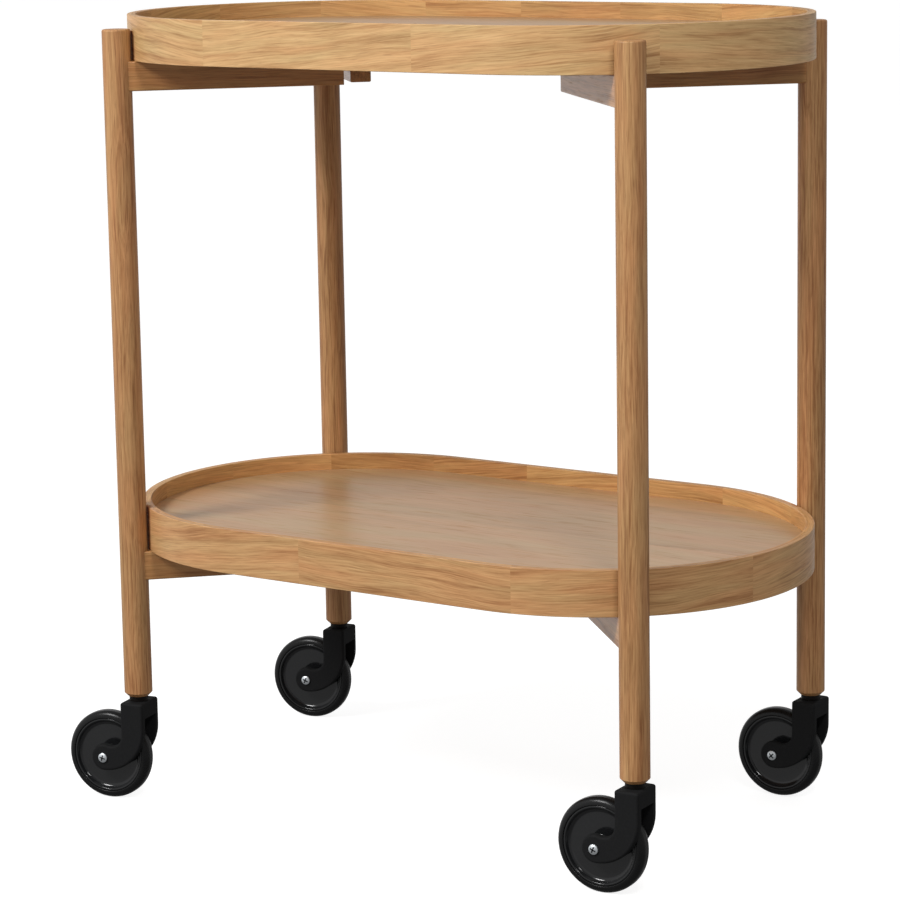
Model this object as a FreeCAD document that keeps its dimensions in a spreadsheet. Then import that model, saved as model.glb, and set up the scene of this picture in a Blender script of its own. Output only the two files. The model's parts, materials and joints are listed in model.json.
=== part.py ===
"""A serving trolley: two oval oak trays between four round legs, on four black casters.

Millimetres, +Z up. The origin lies on the floor under the middle of the whole trolley.
The long side runs along X and the trolley is seen from -Y, its front.
"""
import FreeCAD, Part
import math
import os
import Sketcher

os.makedirs("parts", exist_ok=True)
V = FreeCAD.Vector
UP = V(0, 0, 1)
doc = FreeCAD.newDocument("serving_trolley")
sheet = doc.addObject("Spreadsheet::Sheet", "Sizes")


class Size:
    """A length or an angle that carries both its formula in the sheet and its value."""

    def __init__(self, formula, value):
        self.formula = formula
        self.value = float(value)

    def __add__(self, other):
        return Size(f"({self.formula} + {other.formula})", self.value + other.value)

    def __sub__(self, other):
        return Size(f"({self.formula} - {other.formula})", self.value - other.value)

    def __mul__(self, other):
        other = as_size(other)
        return Size(f"({self.formula} * {other.formula})", self.value * other.value)

    def __truediv__(self, other):
        other = as_size(other)
        return Size(f"({self.formula} / {other.formula})", self.value / other.value)

    def __neg__(self):
        return self * -1


def as_size(number):
    return number if isinstance(number, Size) else Size(f"({number})", number)


def cosine(angle):
    return Size(f"cos({angle.formula})", math.cos(math.radians(angle.value)))


def sine(angle):
    return Size(f"sin({angle.formula})", math.sin(math.radians(angle.value)))


def root(square):
    return Size(f"sqrt({square.formula})", math.sqrt(square.value))


def larger(one, other):
    return Size(f"max({one.formula}; {other.formula})", max(one.value, other.value))


def size(name, value):
    """Write one driving size into the next row of the sheet."""
    row = len(size.names) + 1
    size.names.append(name)
    sheet.set(f"A{row}", name)
    sheet.set(f"B{row}", str(value))
    sheet.setAlias(f"B{row}", name)
    return Size(f"Sizes.{name}", value)


size.names = []
ZERO = Size("0", 0)
HALF_TURN = Size("180", 180)

# Trays: a bent rim glued round a flat panel that lies below the rim's top edge
tray_end_radius = size("tray_end_radius", 200)
tray_half_straight = size("tray_half_straight", 143)
rim_height = size("rim_height", 42)
rim_wall = size("rim_wall", 8)
rim_edge_round = size("rim_edge_round", 2)
tray_recess = size("tray_recess", 16)
panel_fit = size("panel_fit", 0.1)

# Legs: turned rods that stand just clear of the rims, at an angle from each end's centre
leg_diameter = size("leg_diameter", 27)
leg_length = size("leg_length", 643)
leg_foot_chamfer = size("leg_foot_chamfer", 3.5)
leg_top_round = size("leg_top_round", 2)
leg_rim_gap = size("leg_rim_gap", 1)
leg_bearing = size("leg_bearing", 50.7)
leg_foot_height = size("leg_foot_height", 105)
rim_above_leg = size("rim_above_leg", 12)
lower_tray_rise = size("lower_tray_rise", 143.5)

# Rails: square bars under the trays, coped to the legs
rail_height = size("rail_height", 28)
rail_width = size("rail_width", 20)
rail_edge_round = size("rail_edge_round", 1.5)
rail_bearing = size("rail_bearing", 45)
rail_axis_gap = size("rail_axis_gap", 15)
cope_fit = size("cope_fit", 0.1)

# Dowels between rails and legs, and screws that hold the trays down
dowel_diameter = size("dowel_diameter", 8)
dowel_pitch = size("dowel_pitch", 14)
dowel_in_leg = size("dowel_in_leg", 10)
dowel_in_rail = size("dowel_in_rail", 22)
dowel_end_room = size("dowel_end_room", 0.6)
glue_fit = size("glue_fit", 0.05)
tray_screw_diameter = size("tray_screw_diameter", 4)
tray_screw_head = size("tray_screw_head", 8)
tray_screw_head_height = size("tray_screw_head_height", 2.6)
tray_screw_bite = size("tray_screw_bite", 14)
tray_screw_sink = size("tray_screw_sink", 9)
far_screw_inset = size("far_screw_inset", 39)
near_screw_room = size("near_screw_room", 25)
screw_room = size("screw_room", 0.4)

# Casters: sizes of the wheel
wheel_diameter = size("wheel_diameter", 87)
tread_width = size("tread_width", 16)
tread_round = size("tread_round", 6)
tyre_depth = size("tyre_depth", 7)
lip_width = size("lip_width", 2)
lip_recess = size("lip_recess", 0.6)
bevel_run = size("bevel_run", 2.4)
disc_thickness = size("disc_thickness", 7)
hub_boss_diameter = size("hub_boss_diameter", 18)
side_play = size("side_play", 0.4)
tyre_fit = size("tyre_fit", 0.05)
bearing_fit = size("bearing_fit", 0.06)

# Casters: the moulded fork and how far the axle trails behind the leg
trail = size("trail", 32)
axle_drop = size("axle_drop", 61.5)
head_drop = size("head_drop", 5)
head_length = size("head_length", 24)
fork_width = size("fork_width", 35)
arm_thickness = size("arm_thickness", 6)
arm_straight = size("arm_straight", 26)
arm_boss_radius = size("arm_boss_radius", 13)
arm_sweep_radius = size("arm_sweep_radius", 12)
fork_edge_round = size("fork_edge_round", 2.5)
wheel_room = size("wheel_room", 2)

# Casters: stem, bush, axle and their screws
pin_diameter = size("pin_diameter", 8)
stem_thread_length = size("stem_thread_length", 20)
collar_diameter = size("collar_diameter", 18)
swivel_gap = size("swivel_gap", 0.3)
bush_wall = size("bush_wall", 2)
bush_length = size("bush_length", 6)
pin_end_thickness = size("pin_end_thickness", 2)
pin_end_overhang = size("pin_end_overhang", 1)
insert_wall = size("insert_wall", 2)
insert_length = size("insert_length", 22)
axle_diameter = size("axle_diameter", 8)
axle_screw_diameter = size("axle_screw_diameter", 5)
axle_screw_length = size("axle_screw_length", 10)
axle_screw_head = size("axle_screw_head", 9)
axle_screw_head_height = size("axle_screw_head_height", 2.8)
axle_setback = size("axle_setback", 0.3)
overrun = size("overrun", 1)

# Where each caster points in the photograph, as a turn from straight along the trolley
front_left_angle = size("front_left_angle", 11.5)
rear_left_angle = size("rear_left_angle", 12)
front_right_angle = size("front_right_angle", 2.5)
rear_right_angle = size("rear_right_angle", 1.5)
doc.recompute()

# Sizes that follow from the driving ones
leg_radius = leg_diameter / 2
leg_reach = tray_end_radius + leg_rim_gap + leg_radius
leg_x = tray_half_straight + leg_reach * cosine(leg_bearing)
leg_y = leg_reach * sine(leg_bearing)
rail_reach = (leg_y - rail_axis_gap) / sine(rail_bearing)
near_screw = leg_radius + dowel_in_rail + near_screw_room
far_screw = rail_reach - far_screw_inset
panel_thickness = rim_height - tray_recess
upper_rim_z = leg_foot_height + leg_length + rim_above_leg - rim_height
lower_rim_z = leg_foot_height + lower_tray_rise
wheel_radius = wheel_diameter / 2
tyre_inner_radius = wheel_radius - tyre_depth
tread_half = tread_width / 2
head_half = head_length / 2
fork_half = fork_width / 2
slot_width = fork_width - arm_thickness * 2
pin_radius = pin_diameter / 2
bush_radius = pin_radius + bearing_fit + bush_wall
axle_radius = axle_diameter / 2


def wheel_overhang(turn):
    """How far a wheel that trails towards -X, at this turn, reaches beyond its leg's axis."""
    core = trail + wheel_radius - tread_round
    return core * cosine(turn) + (tread_half - tread_round) * sine(turn) + tread_round


left_reach = leg_x + larger(wheel_overhang(front_left_angle), wheel_overhang(rear_left_angle))
right_reach = tray_half_straight + tray_end_radius
middle_x = (left_reach - right_reach) / 2

CORNERS = (
    ("front_left", -1, -1, front_left_angle),
    ("rear_left", -1, 1, rear_left_angle),
    ("front_right", 1, -1, front_right_angle),
    ("rear_right", 1, 1, rear_right_angle),
)
TRAYS = (("upper", upper_rim_z), ("lower", lower_rim_z))
nodes = []


def keep(piece, label):
    """Name a finished piece and put it on the list of nodes."""
    piece.Label = label
    nodes.append(piece)
    return piece


def place(piece, x, y, z, turn=ZERO):
    """Stand a piece at a place, turned about the upright axis."""
    piece.Placement = FreeCAD.Placement(V(x.value, y.value, z.value), FreeCAD.Rotation(UP, turn.value))
    piece.setExpression("Placement.Base.x", x.formula)
    piece.setExpression("Placement.Base.y", y.formula)
    piece.setExpression("Placement.Base.z", z.formula)
    if turn is not ZERO:
        piece.setExpression("Placement.Rotation.Angle", turn.formula)


def leg_place(side_x, side_y):
    return middle_x + leg_x * side_x, leg_y * side_y


def inward_turn(side_x, side_y):
    """The turn that points a piece's own X axis from a leg inwards, along its rail."""
    if side_x < 0:
        return rail_bearing * -side_y
    return HALF_TURN + rail_bearing * side_y


def make_body(name):
    return doc.addObject("PartDesign::Body", name)


def make_sketch(body, name, role, offset=ZERO):
    """A sketch on one of the body's own planes, moved along the plane's normal by the offset."""
    sketch = body.newObject("Sketcher::SketchObject", name)
    plane = [feature for feature in body.Origin.OriginFeatures if feature.Role == role][0]
    sketch.AttachmentSupport = [(plane, "")]
    sketch.MapMode = "FlatFace"
    if offset is not ZERO:
        sketch.AttachmentOffset = FreeCAD.Placement(V(0, 0, offset.value), FreeCAD.Rotation())
        sketch.setExpression("AttachmentOffset.Base.z", offset.formula)
    return sketch


def constrain(sketch, kind, *places, value=None):
    """Add one constraint, tied to the sheet where it has a size."""
    if value is None:
        return sketch.addConstraint(Sketcher.Constraint(kind, *places))
    index = sketch.addConstraint(Sketcher.Constraint(kind, *places, value.value))
    sketch.setExpression(f"Constraints[{index}]", value.formula)
    return index


def pin_point(sketch, geometry, end, point):
    """Hold one end of an edge at its place, measured from the sketch's origin."""
    x, y = point
    if x is ZERO and y is ZERO:
        constrain(sketch, "Coincident", geometry, end, -1, 1)
        return
    if x is ZERO:
        constrain(sketch, "PointOnObject", geometry, end, -2)
    else:
        constrain(sketch, "DistanceX", -1, 1, geometry, end, value=x)
    if y is ZERO:
        constrain(sketch, "PointOnObject", geometry, end, -1)
    else:
        constrain(sketch, "DistanceY", -1, 1, geometry, end, value=y)


def vector(point):
    return V(point[0].value, point[1].value, 0)


def bend_edge(start, finish, radius):
    """A short arc between two points; a positive radius turns left, a negative one right."""
    chord = finish - start
    across = V(-chord.y, chord.x, 0).normalize()
    depth = math.sqrt(radius ** 2 - chord.Length ** 2 / 4)
    centre = start + chord * 0.5 + across * math.copysign(depth, radius)
    first, last = (start, finish) if radius > 0 else (finish, start)
    angle_from = math.atan2(first.y - centre.y, first.x - centre.x)
    angle_to = math.atan2(last.y - centre.y, last.x - centre.x)
    if angle_to < angle_from:
        angle_to += 2 * math.pi
    circle = Part.Circle(centre, UP, abs(radius))
    return Part.ArcOfCircle(circle, angle_from, angle_to)


def draw_outline(body, name, role, points, bends=None, offset=ZERO):
    """A closed outline through the points; bends maps a point's index to the radius leaving it."""
    sketch = make_sketch(body, name, role, offset)
    bends = bends or {}
    count = len(points)
    starts = []
    ends = []
    for index in range(count):
        start = vector(points[index])
        finish = vector(points[(index + 1) % count])
        if index in bends:
            radius = bends[index]
            sketch.addGeometry(bend_edge(start, finish, radius.value), False)
            starts.append(1 if radius.value > 0 else 2)
            ends.append(2 if radius.value > 0 else 1)
        else:
            sketch.addGeometry(Part.LineSegment(start, finish), False)
            starts.append(1)
            ends.append(2)
    for index in range(count):
        after = (index + 1) % count
        constrain(sketch, "Coincident", index, ends[index], after, starts[after])
        pin_point(sketch, index, starts[index], points[index])
    for index, radius in bends.items():
        size_of_bend = radius if radius.value > 0 else -radius
        constrain(sketch, "Radius", index, value=size_of_bend)
    return sketch


def draw_circles(body, name, role, centres, radius, offset=ZERO):
    sketch = make_sketch(body, name, role, offset)
    for index, centre in enumerate(centres):
        sketch.addGeometry(Part.Circle(vector(centre), UP, radius.value), False)
        pin_point(sketch, index, 3, centre)
        constrain(sketch, "Radius", index, value=radius)
    return sketch


def draw_oval(body, name, radius, half_straight, offset=ZERO):
    """Two half circles joined by straight runs, about the sketch's origin."""
    sketch = make_sketch(body, name, "XY_Plane", offset)
    r, e = radius.value, half_straight.value
    right = Part.Circle(V(e, 0, 0), UP, r)
    left = Part.Circle(V(-e, 0, 0), UP, r)
    sketch.addGeometry(Part.ArcOfCircle(right, -math.pi / 2, math.pi / 2), False)
    sketch.addGeometry(Part.LineSegment(V(e, r, 0), V(-e, r, 0)), False)
    sketch.addGeometry(Part.ArcOfCircle(left, math.pi / 2, 3 * math.pi / 2), False)
    sketch.addGeometry(Part.LineSegment(V(-e, -r, 0), V(e, -r, 0)), False)
    for edge in range(4):
        constrain(sketch, "Tangent", edge, 2, (edge + 1) % 4, 1)
    constrain(sketch, "Equal", 0, 2)
    constrain(sketch, "PointOnObject", 0, 3, -1)
    constrain(sketch, "Symmetric", 0, 3, 2, 3, -1, 1)
    constrain(sketch, "DistanceX", -1, 1, 0, 3, value=half_straight)
    constrain(sketch, "Radius", 0, value=radius)
    return sketch


def pad(body, sketch, length, middle=False, flip=False):
    feature = body.newObject("PartDesign::Pad", f"{sketch.Name}_pad")
    feature.Profile = sketch
    feature.setExpression("Length", length.formula)
    if middle:
        feature.SideType = "Symmetric"
    feature.Reversed = flip
    sketch.Visibility = False
    return feature


def pocket(body, sketch, length, middle=False, flip=False):
    """Cut a sketch into the body, and make sure that the cut takes something away."""
    doc.recompute()
    before = body.Shape.Volume
    feature = body.newObject("PartDesign::Pocket", f"{sketch.Name}_cut")
    feature.Profile = sketch
    feature.setExpression("Length", length.formula)
    if middle:
        feature.SideType = "Symmetric"
    feature.Reversed = flip
    sketch.Visibility = False
    doc.recompute()
    if not body.Shape.Volume < before:
        raise RuntimeError(f"{feature.Name} cuts nothing")
    return feature


def revolve(body, sketch):
    """Turn a sketch a full circle about its own upright axis."""
    feature = body.newObject("PartDesign::Revolution", f"{sketch.Name}_turn")
    feature.Profile = sketch
    feature.ReferenceAxis = (sketch, ["V_Axis"])
    feature.Angle = 360
    sketch.Visibility = False
    return feature


def round_edges(body, radius, wanted):
    """Fillet the edges that pass the test."""
    doc.recompute()
    base = body.Tip
    names = [f"Edge{i}" for i, edge in enumerate(base.Shape.Edges, 1) if wanted(edge)]
    feature = body.newObject("PartDesign::Fillet", f"{body.Name}_round")
    feature.Base = (base, names)
    feature.setExpression("Radius", radius.formula)
    return feature


def lies_at(edge, axis, level):
    """Whether an edge lies in the plane where this coordinate has this value."""
    slack = 1e-4 * level.value
    box = edge.BoundBox
    low, high = (getattr(box, axis + "Min"), getattr(box, axis + "Max"))
    return abs(low - level.value) < abs(slack) and abs(high - level.value) < abs(slack)


def runs_along(edge, axis):
    """Whether an edge is straight and runs along this axis."""
    if edge.Curve.TypeId != "Part::GeomLine":
        return False
    direction = edge.tangentAt(edge.FirstParameter)
    return abs(getattr(direction, axis)) > math.cos(math.radians(1))


def turned(name, points, bends=None, role="XZ_Plane"):
    """A turned piece: an outline to one side of the axis, revolved about it."""
    body = make_body(name)
    sketch = draw_outline(body, f"{name}_profile", role, points, bends)
    revolve(body, sketch)
    return body


def group(label, pieces):
    """One node that holds several like pieces as separate solids."""
    compound = doc.addObject("Part::Compound", label)
    compound.Links = pieces
    return keep(compound, label)


def make_tray_rim(level, bottom):
    """The bent band round a tray, with its edges eased."""
    body = make_body(f"{level}_tray_rim")
    outside = draw_oval(body, f"{level}_rim_outside", tray_end_radius, tray_half_straight)
    pad(body, outside, rim_height)
    inner_radius = tray_end_radius - rim_wall
    inside = draw_oval(body, f"{level}_rim_inside", inner_radius, tray_half_straight, rim_height)
    pocket(body, inside, rim_height + overrun)
    round_edges(body, rim_edge_round, lambda edge: lies_at(edge, "Z", rim_height))
    place(body, middle_x, ZERO, bottom)
    keep(body, f"{level}_tray_rim")


def make_tray_panel(level, bottom):
    """The board inside the rim, flush with its lower edge, drilled for the tray screws."""
    body = make_body(f"{level}_tray_panel")
    radius = tray_end_radius - rim_wall - panel_fit
    pad(body, draw_oval(body, f"{level}_panel_outline", radius, tray_half_straight), panel_thickness)
    centres = []
    for corner, side_x, side_y, turn in CORNERS:
        for along in (near_screw, far_screw):
            x = (leg_x - along * cosine(rail_bearing)) * side_x
            y = (leg_y - along * sine(rail_bearing)) * side_y
            centres.append((x, y))
    pilot = tray_screw_diameter / 2 + glue_fit
    holes = draw_circles(body, f"{level}_panel_pilots", "XY_Plane", centres, pilot)
    pocket(body, holes, tray_screw_bite + dowel_end_room, flip=True)
    place(body, middle_x, ZERO, bottom)
    keep(body, f"{level}_tray_panel")


def dowel_heights(bottom):
    middle = bottom + rail_height / 2
    return (middle - dowel_pitch / 2, middle + dowel_pitch / 2)


def make_leg(corner, side_x, side_y):
    """A turned leg with a chamfered foot, a bore for the insert and holes for the dowels."""
    bore = pin_radius + insert_wall + glue_fit
    points = [
        (bore, ZERO),
        (leg_radius - leg_foot_chamfer, ZERO),
        (leg_radius, leg_foot_chamfer),
        (leg_radius, leg_length - leg_top_round),
        (leg_radius - leg_top_round, leg_length),
        (ZERO, leg_length),
        (ZERO, insert_length),
        (bore, insert_length),
    ]
    body = turned(f"{corner}_leg", points, {3: leg_top_round})
    centres = []
    for level, rim_bottom in TRAYS:
        for height in dowel_heights(rim_bottom - rail_height - leg_foot_height):
            centres.append((ZERO, height))
    depth = dowel_in_leg + dowel_end_room
    hole = dowel_diameter / 2 + glue_fit
    holes = draw_circles(body, f"{corner}_leg_dowel_holes", "YZ_Plane", centres, hole, leg_radius - depth)
    pocket(body, holes, depth + overrun, flip=True)
    x, y = leg_place(side_x, side_y)
    place(body, x, y, leg_foot_height, inward_turn(side_x, side_y))
    keep(body, f"{corner}_leg")


def make_rail(level, corner, side_x, side_y, rim_bottom):
    """A bar from a leg inwards: coped end, dowel holes, and two sunk screw holes from below."""
    name = f"{level}_{corner}_rail"
    body = make_body(name)
    half = rail_width / 2
    cope = leg_radius + cope_fit
    start = root(cope * cope - half * half)
    points = [(start, -half), (rail_reach, -half), (rail_reach, half), (start, half)]
    pad(body, draw_outline(body, f"{name}_plan", "XY_Plane", points, {3: -cope}), rail_height)
    round_edges(body, rail_edge_round, lambda edge: runs_along(edge, "x"))
    ends = [(ZERO, height) for height in dowel_heights(ZERO)]
    hole = dowel_diameter / 2 + glue_fit
    dowel_holes = draw_circles(body, f"{name}_dowel_holes", "YZ_Plane", ends, hole)
    pocket(body, dowel_holes, leg_radius + dowel_in_rail + dowel_end_room, flip=True)
    places = [(near_screw, ZERO), (far_screw, ZERO)]
    clear = tray_screw_diameter / 2 + screw_room
    shanks = draw_circles(body, f"{name}_screw_holes", "XY_Plane", places, clear)
    pocket(body, shanks, rail_height + overrun, flip=True)
    sunk = tray_screw_head / 2 + screw_room
    sinks = draw_circles(body, f"{name}_screw_sinks", "XY_Plane", places, sunk)
    pocket(body, sinks, tray_screw_sink, flip=True)
    x, y = leg_place(side_x, side_y)
    place(body, x, y, rim_bottom - rail_height, inward_turn(side_x, side_y))
    keep(body, name)


def make_dowel_pair(level, corner, side_x, side_y, rim_bottom):
    name = f"{level}_{corner}_dowel_pair"
    body = make_body(name)
    body.AllowCompound = True
    ends = [(ZERO, height) for height in dowel_heights(ZERO)]
    start = leg_radius - dowel_in_leg
    rods = draw_circles(body, f"{name}_ends", "YZ_Plane", ends, dowel_diameter / 2, start)
    pad(body, rods, dowel_in_leg + dowel_in_rail)
    x, y = leg_place(side_x, side_y)
    place(body, x, y, rim_bottom - rail_height, inward_turn(side_x, side_y))
    return body


def make_tray_screw(name, side_x, side_y, along, rim_bottom):
    """A domed-head wood screw that points up; its head sits on the floor of the sunk hole."""
    shank = tray_screw_diameter / 2
    head = tray_screw_head / 2
    seat = tray_screw_sink
    tip = rail_height + tray_screw_bite
    crown = seat - tray_screw_head_height
    points = [
        (ZERO, crown),
        (head / 2, crown),
        (head, crown + tray_screw_head_height / 2),
        (head, seat),
        (shank, seat),
        (shank, tip - shank * 2),
        (ZERO, tip),
    ]
    body = turned(name, points)
    x = middle_x + (leg_x - along * cosine(rail_bearing)) * side_x
    y = (leg_y - along * sine(rail_bearing)) * side_y
    place(body, x, y, rim_bottom - rail_height)
    return body


def make_frame():
    for level, bottom in TRAYS:
        make_tray_rim(level, bottom)
        make_tray_panel(level, bottom)
    for corner, side_x, side_y, turn in CORNERS:
        make_leg(corner, side_x, side_y)
    for level, bottom in TRAYS:
        dowels = []
        screws = []
        for corner, side_x, side_y, turn in CORNERS:
            make_rail(level, corner, side_x, side_y, bottom)
            dowels.append(make_dowel_pair(level, corner, side_x, side_y, bottom))
            for spot, along in (("near", near_screw), ("far", far_screw)):
                name = f"{level}_{corner}_{spot}_screw"
                screws.append(make_tray_screw(name, side_x, side_y, along, bottom))
        group(f"{level}_rail_dowels", dowels)
        group(f"{level}_tray_screws", screws)


def make_insert(corner, side_x, side_y):
    """The threaded sleeve in a leg's foot."""
    inner = pin_radius + glue_fit
    outer = pin_radius + insert_wall
    points = [(inner, ZERO), (outer, ZERO), (outer, insert_length), (inner, insert_length)]
    body = turned(f"{corner}_insert", points)
    x, y = leg_place(side_x, side_y)
    place(body, x, y, leg_foot_height)
    return body


def make_stem(corner, side_x, side_y):
    """Thread, collar and swivel pin in one turned piece; the pin's end is spread under the bush."""
    collar = collar_diameter / 2
    collar_bottom = swivel_gap - head_drop
    bush_bottom = -(head_drop + bush_length)
    end_top = bush_bottom - swivel_gap
    end_bottom = end_top - pin_end_thickness
    end_radius = pin_radius + pin_end_overhang
    points = [
        (ZERO, end_bottom),
        (end_radius, end_bottom),
        (end_radius, end_top),
        (pin_radius, end_top),
        (pin_radius, collar_bottom),
        (collar, collar_bottom),
        (collar, ZERO),
        (pin_radius, ZERO),
        (pin_radius, stem_thread_length),
        (ZERO, stem_thread_length),
    ]
    body = turned(f"{corner}_stem", points)
    x, y = leg_place(side_x, side_y)
    place(body, x, y, leg_foot_height)
    keep(body, f"{corner}_caster_stem")


def make_bush(corner, side_x, side_y):
    """The sleeve that the swivel pin turns in."""
    inner = pin_radius + bearing_fit
    top = -head_drop
    bottom = top - bush_length
    points = [(inner, bottom), (bush_radius, bottom), (bush_radius, top), (inner, top)]
    body = turned(f"{corner}_bush", points)
    x, y = leg_place(side_x, side_y)
    place(body, x, y, leg_foot_height)
    keep(body, f"{corner}_swivel_bush")


def fork_side_view():
    """The arm seen from the side: upright under the head, then swept back to the axle's boss.

    The leading edge is an arc that leaves the head upright and runs on into the boss.
    The trailing edge is a hollow arc between the head's back and the boss.
    """
    top = -head_drop
    level = top - arm_straight
    fall = axle_drop + level
    run = head_half + trail
    boss = arm_boss_radius
    lead_radius = (run * run + fall * fall - boss * boss) / (run - boss) / 2
    gap = lead_radius - boss
    lead_x = (lead_radius - run) / gap
    low = (boss * lead_x - trail, -(axle_drop + boss * fall / gap))
    hollow = arm_sweep_radius
    side = trail - head_half - hollow
    span = boss + hollow
    rise = root(span * span - side * side)
    high = (boss * side / span - trail, boss * rise / span - axle_drop)
    points = [
        (-head_half, top),
        (head_half, top),
        (head_half, level),
        low,
        (-(trail + boss), -axle_drop),
        high,
        (-head_half, rise - axle_drop),
    ]
    return points, {2: -lead_radius, 3: -boss, 4: -boss, 5: hollow}


def make_fork(corner, side_x, side_y, turn):
    """The moulded fork: a head block over the wheel and an arm down each side to the axle.

    The slot's flat ceiling lies where the wheel, with its room, just clears the head's back edge.
    """
    name = f"{corner}_fork"
    body = make_body(name)
    points, bends = fork_side_view()
    pad(body, draw_outline(body, f"{name}_side", "XZ_Plane", points, bends), fork_width, middle=True)

    def outer_edge(edge):
        flat = lies_at(edge, "Y", fork_half) or lies_at(edge, "Y", -fork_half)
        return flat or (runs_along(edge, "y") and lies_at(edge, "Z", -head_drop))

    round_edges(body, fork_edge_round, outer_edge)
    axle = (-trail, -axle_drop)
    room = wheel_radius + wheel_room
    back = trail - head_half
    ceiling = root(room * room - back * back) - axle_drop
    rear = -(trail + arm_boss_radius + overrun)
    front = head_half + overrun
    below = -(axle_drop + arm_boss_radius + overrun)
    corners = [(rear, ceiling), (front, ceiling), (front, below), (rear, below)]
    pocket(body, draw_outline(body, f"{name}_slot", "XZ_Plane", corners), slot_width, middle=True)
    well = bush_length + swivel_gap * 2 + pin_end_thickness
    seat_radius = bush_radius + glue_fit
    seat = draw_circles(body, f"{name}_bush_seat", "XY_Plane", [(ZERO, ZERO)], seat_radius, -head_drop)
    pocket(body, seat, well)
    eye = draw_circles(body, f"{name}_axle_eye", "XZ_Plane", [axle], axle_radius + glue_fit)
    pocket(body, eye, fork_width + overrun, middle=True)
    x, y = leg_place(side_x, side_y)
    place(body, x, y, leg_foot_height, turn)
    keep(body, name)


def place_on_axle(body, side_x, side_y, turn):
    x, y = leg_place(side_x, side_y)
    place(body, x - trail * cosine(turn), y - trail * sine(turn), leg_foot_height - axle_drop, turn)


def mirrored_outline(upper_points):
    """Complete an outline with its own mirror image about the wheel's middle plane."""
    lower_points = [(x, -y) for x, y in reversed(upper_points)]
    return upper_points + lower_points


def make_hub(corner, side_x, side_y, turn):
    """The wheel's disc: a boss on the axle, a thin web, and a bevelled lip under the tyre."""
    bore = axle_radius + bearing_fit
    boss = hub_boss_diameter / 2
    boss_half = slot_width / 2 - side_play
    web_half = disc_thickness / 2
    rim = tyre_inner_radius - tyre_fit
    lip_half = tread_half - lip_recess
    points = [
        (bore, boss_half),
        (boss, boss_half),
        (boss, web_half),
        (rim - lip_width - bevel_run, web_half),
        (rim - lip_width, lip_half),
        (rim, lip_half),
    ]
    body = turned(f"{corner}_hub", mirrored_outline(points), role="XY_Plane")
    place_on_axle(body, side_x, side_y, turn)
    keep(body, f"{corner}_wheel_hub")


def make_tyre(corner, side_x, side_y, turn):
    """The tyre: a band with well rounded shoulders."""
    shoulder = wheel_radius - tread_round
    points = [
        (tyre_inner_radius, tread_half),
        (shoulder, tread_half),
        (wheel_radius, tread_half - tread_round),
    ]
    body = turned(f"{corner}_tyre", mirrored_outline(points), {1: -tread_round, 3: -tread_round}, "XY_Plane")
    place_on_axle(body, side_x, side_y, turn)
    keep(body, f"{corner}_tyre")


def make_axle(corner, side_x, side_y, turn):
    """The steel sleeve through the fork and hub, threaded inside for a screw at each end."""
    bore = axle_screw_diameter / 2 + glue_fit
    half = fork_half - axle_setback
    points = mirrored_outline([(bore, half), (axle_radius, half)])
    body = turned(f"{corner}_axle", points, role="XY_Plane")
    place_on_axle(body, side_x, side_y, turn)
    keep(body, f"{corner}_axle_sleeve")


def make_axle_screw(corner, side_x, side_y, turn, side):
    """A cross-head machine screw whose domed head bears on the outside of an arm."""
    shank = axle_screw_diameter / 2
    head = axle_screw_head / 2
    seat = fork_half * side
    crown = (fork_half + axle_screw_head_height) * side
    shoulder = (fork_half + axle_screw_head_height / 2) * side
    tip = (fork_half - axle_screw_length) * side
    points = [
        (ZERO, crown),
        (head / 2, crown),
        (head, shoulder),
        (head, seat),
        (shank, seat),
        (shank, tip),
        (ZERO, tip),
    ]
    facing = "far" if side > 0 else "near"
    body = turned(f"{corner}_{facing}_axle_screw", points, role="XY_Plane")
    place_on_axle(body, side_x, side_y, turn)
    return body


def make_casters():
    inserts = []
    for corner, side_x, side_y, turn in CORNERS:
        inserts.append(make_insert(corner, side_x, side_y))
        make_stem(corner, side_x, side_y)
        make_bush(corner, side_x, side_y)
        make_fork(corner, side_x, side_y, turn)
        make_hub(corner, side_x, side_y, turn)
        make_tyre(corner, side_x, side_y, turn)
        make_axle(corner, side_x, side_y, turn)
        screws = [make_axle_screw(corner, side_x, side_y, turn, side) for side in (1, -1)]
        group(f"{corner}_axle_screws", screws)
    group("leg_inserts", inserts)


def check_and_write():
    """Refuse a failed feature or a broken shape, then write one file for each node."""
    doc.recompute()
    for item in doc.Objects:
        if "Invalid" in item.State or "Error" in item.State:
            raise RuntimeError(f"{item.Name} failed: {item.State}")
    for piece in nodes:
        if piece.Shape.isNull() or not piece.Shape.isValid():
            raise RuntimeError(f"{piece.Label} has no sound shape")
        piece.Shape.exportStep(f"parts/{piece.Label}.step")
        print(piece.Label, len(piece.Shape.Solids), round(piece.Shape.Volume))
    print(len(nodes), "nodes; the trays' middle lies at x =", round(middle_x.value, 3))


make_frame()
make_casters()
check_and_write()
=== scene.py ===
# %% [markdown]
# # A serving trolley of oak on black casters
# The trolley has two oval trays between four round legs, and each leg stands on a swivelling caster.
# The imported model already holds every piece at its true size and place. This script gives those
# pieces their wood, plastic and steel, and rebuilds the ones whose look depends on finer shape.
# Everything is in metres, +Z points up, and the trolley's front faces -Y.

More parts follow.
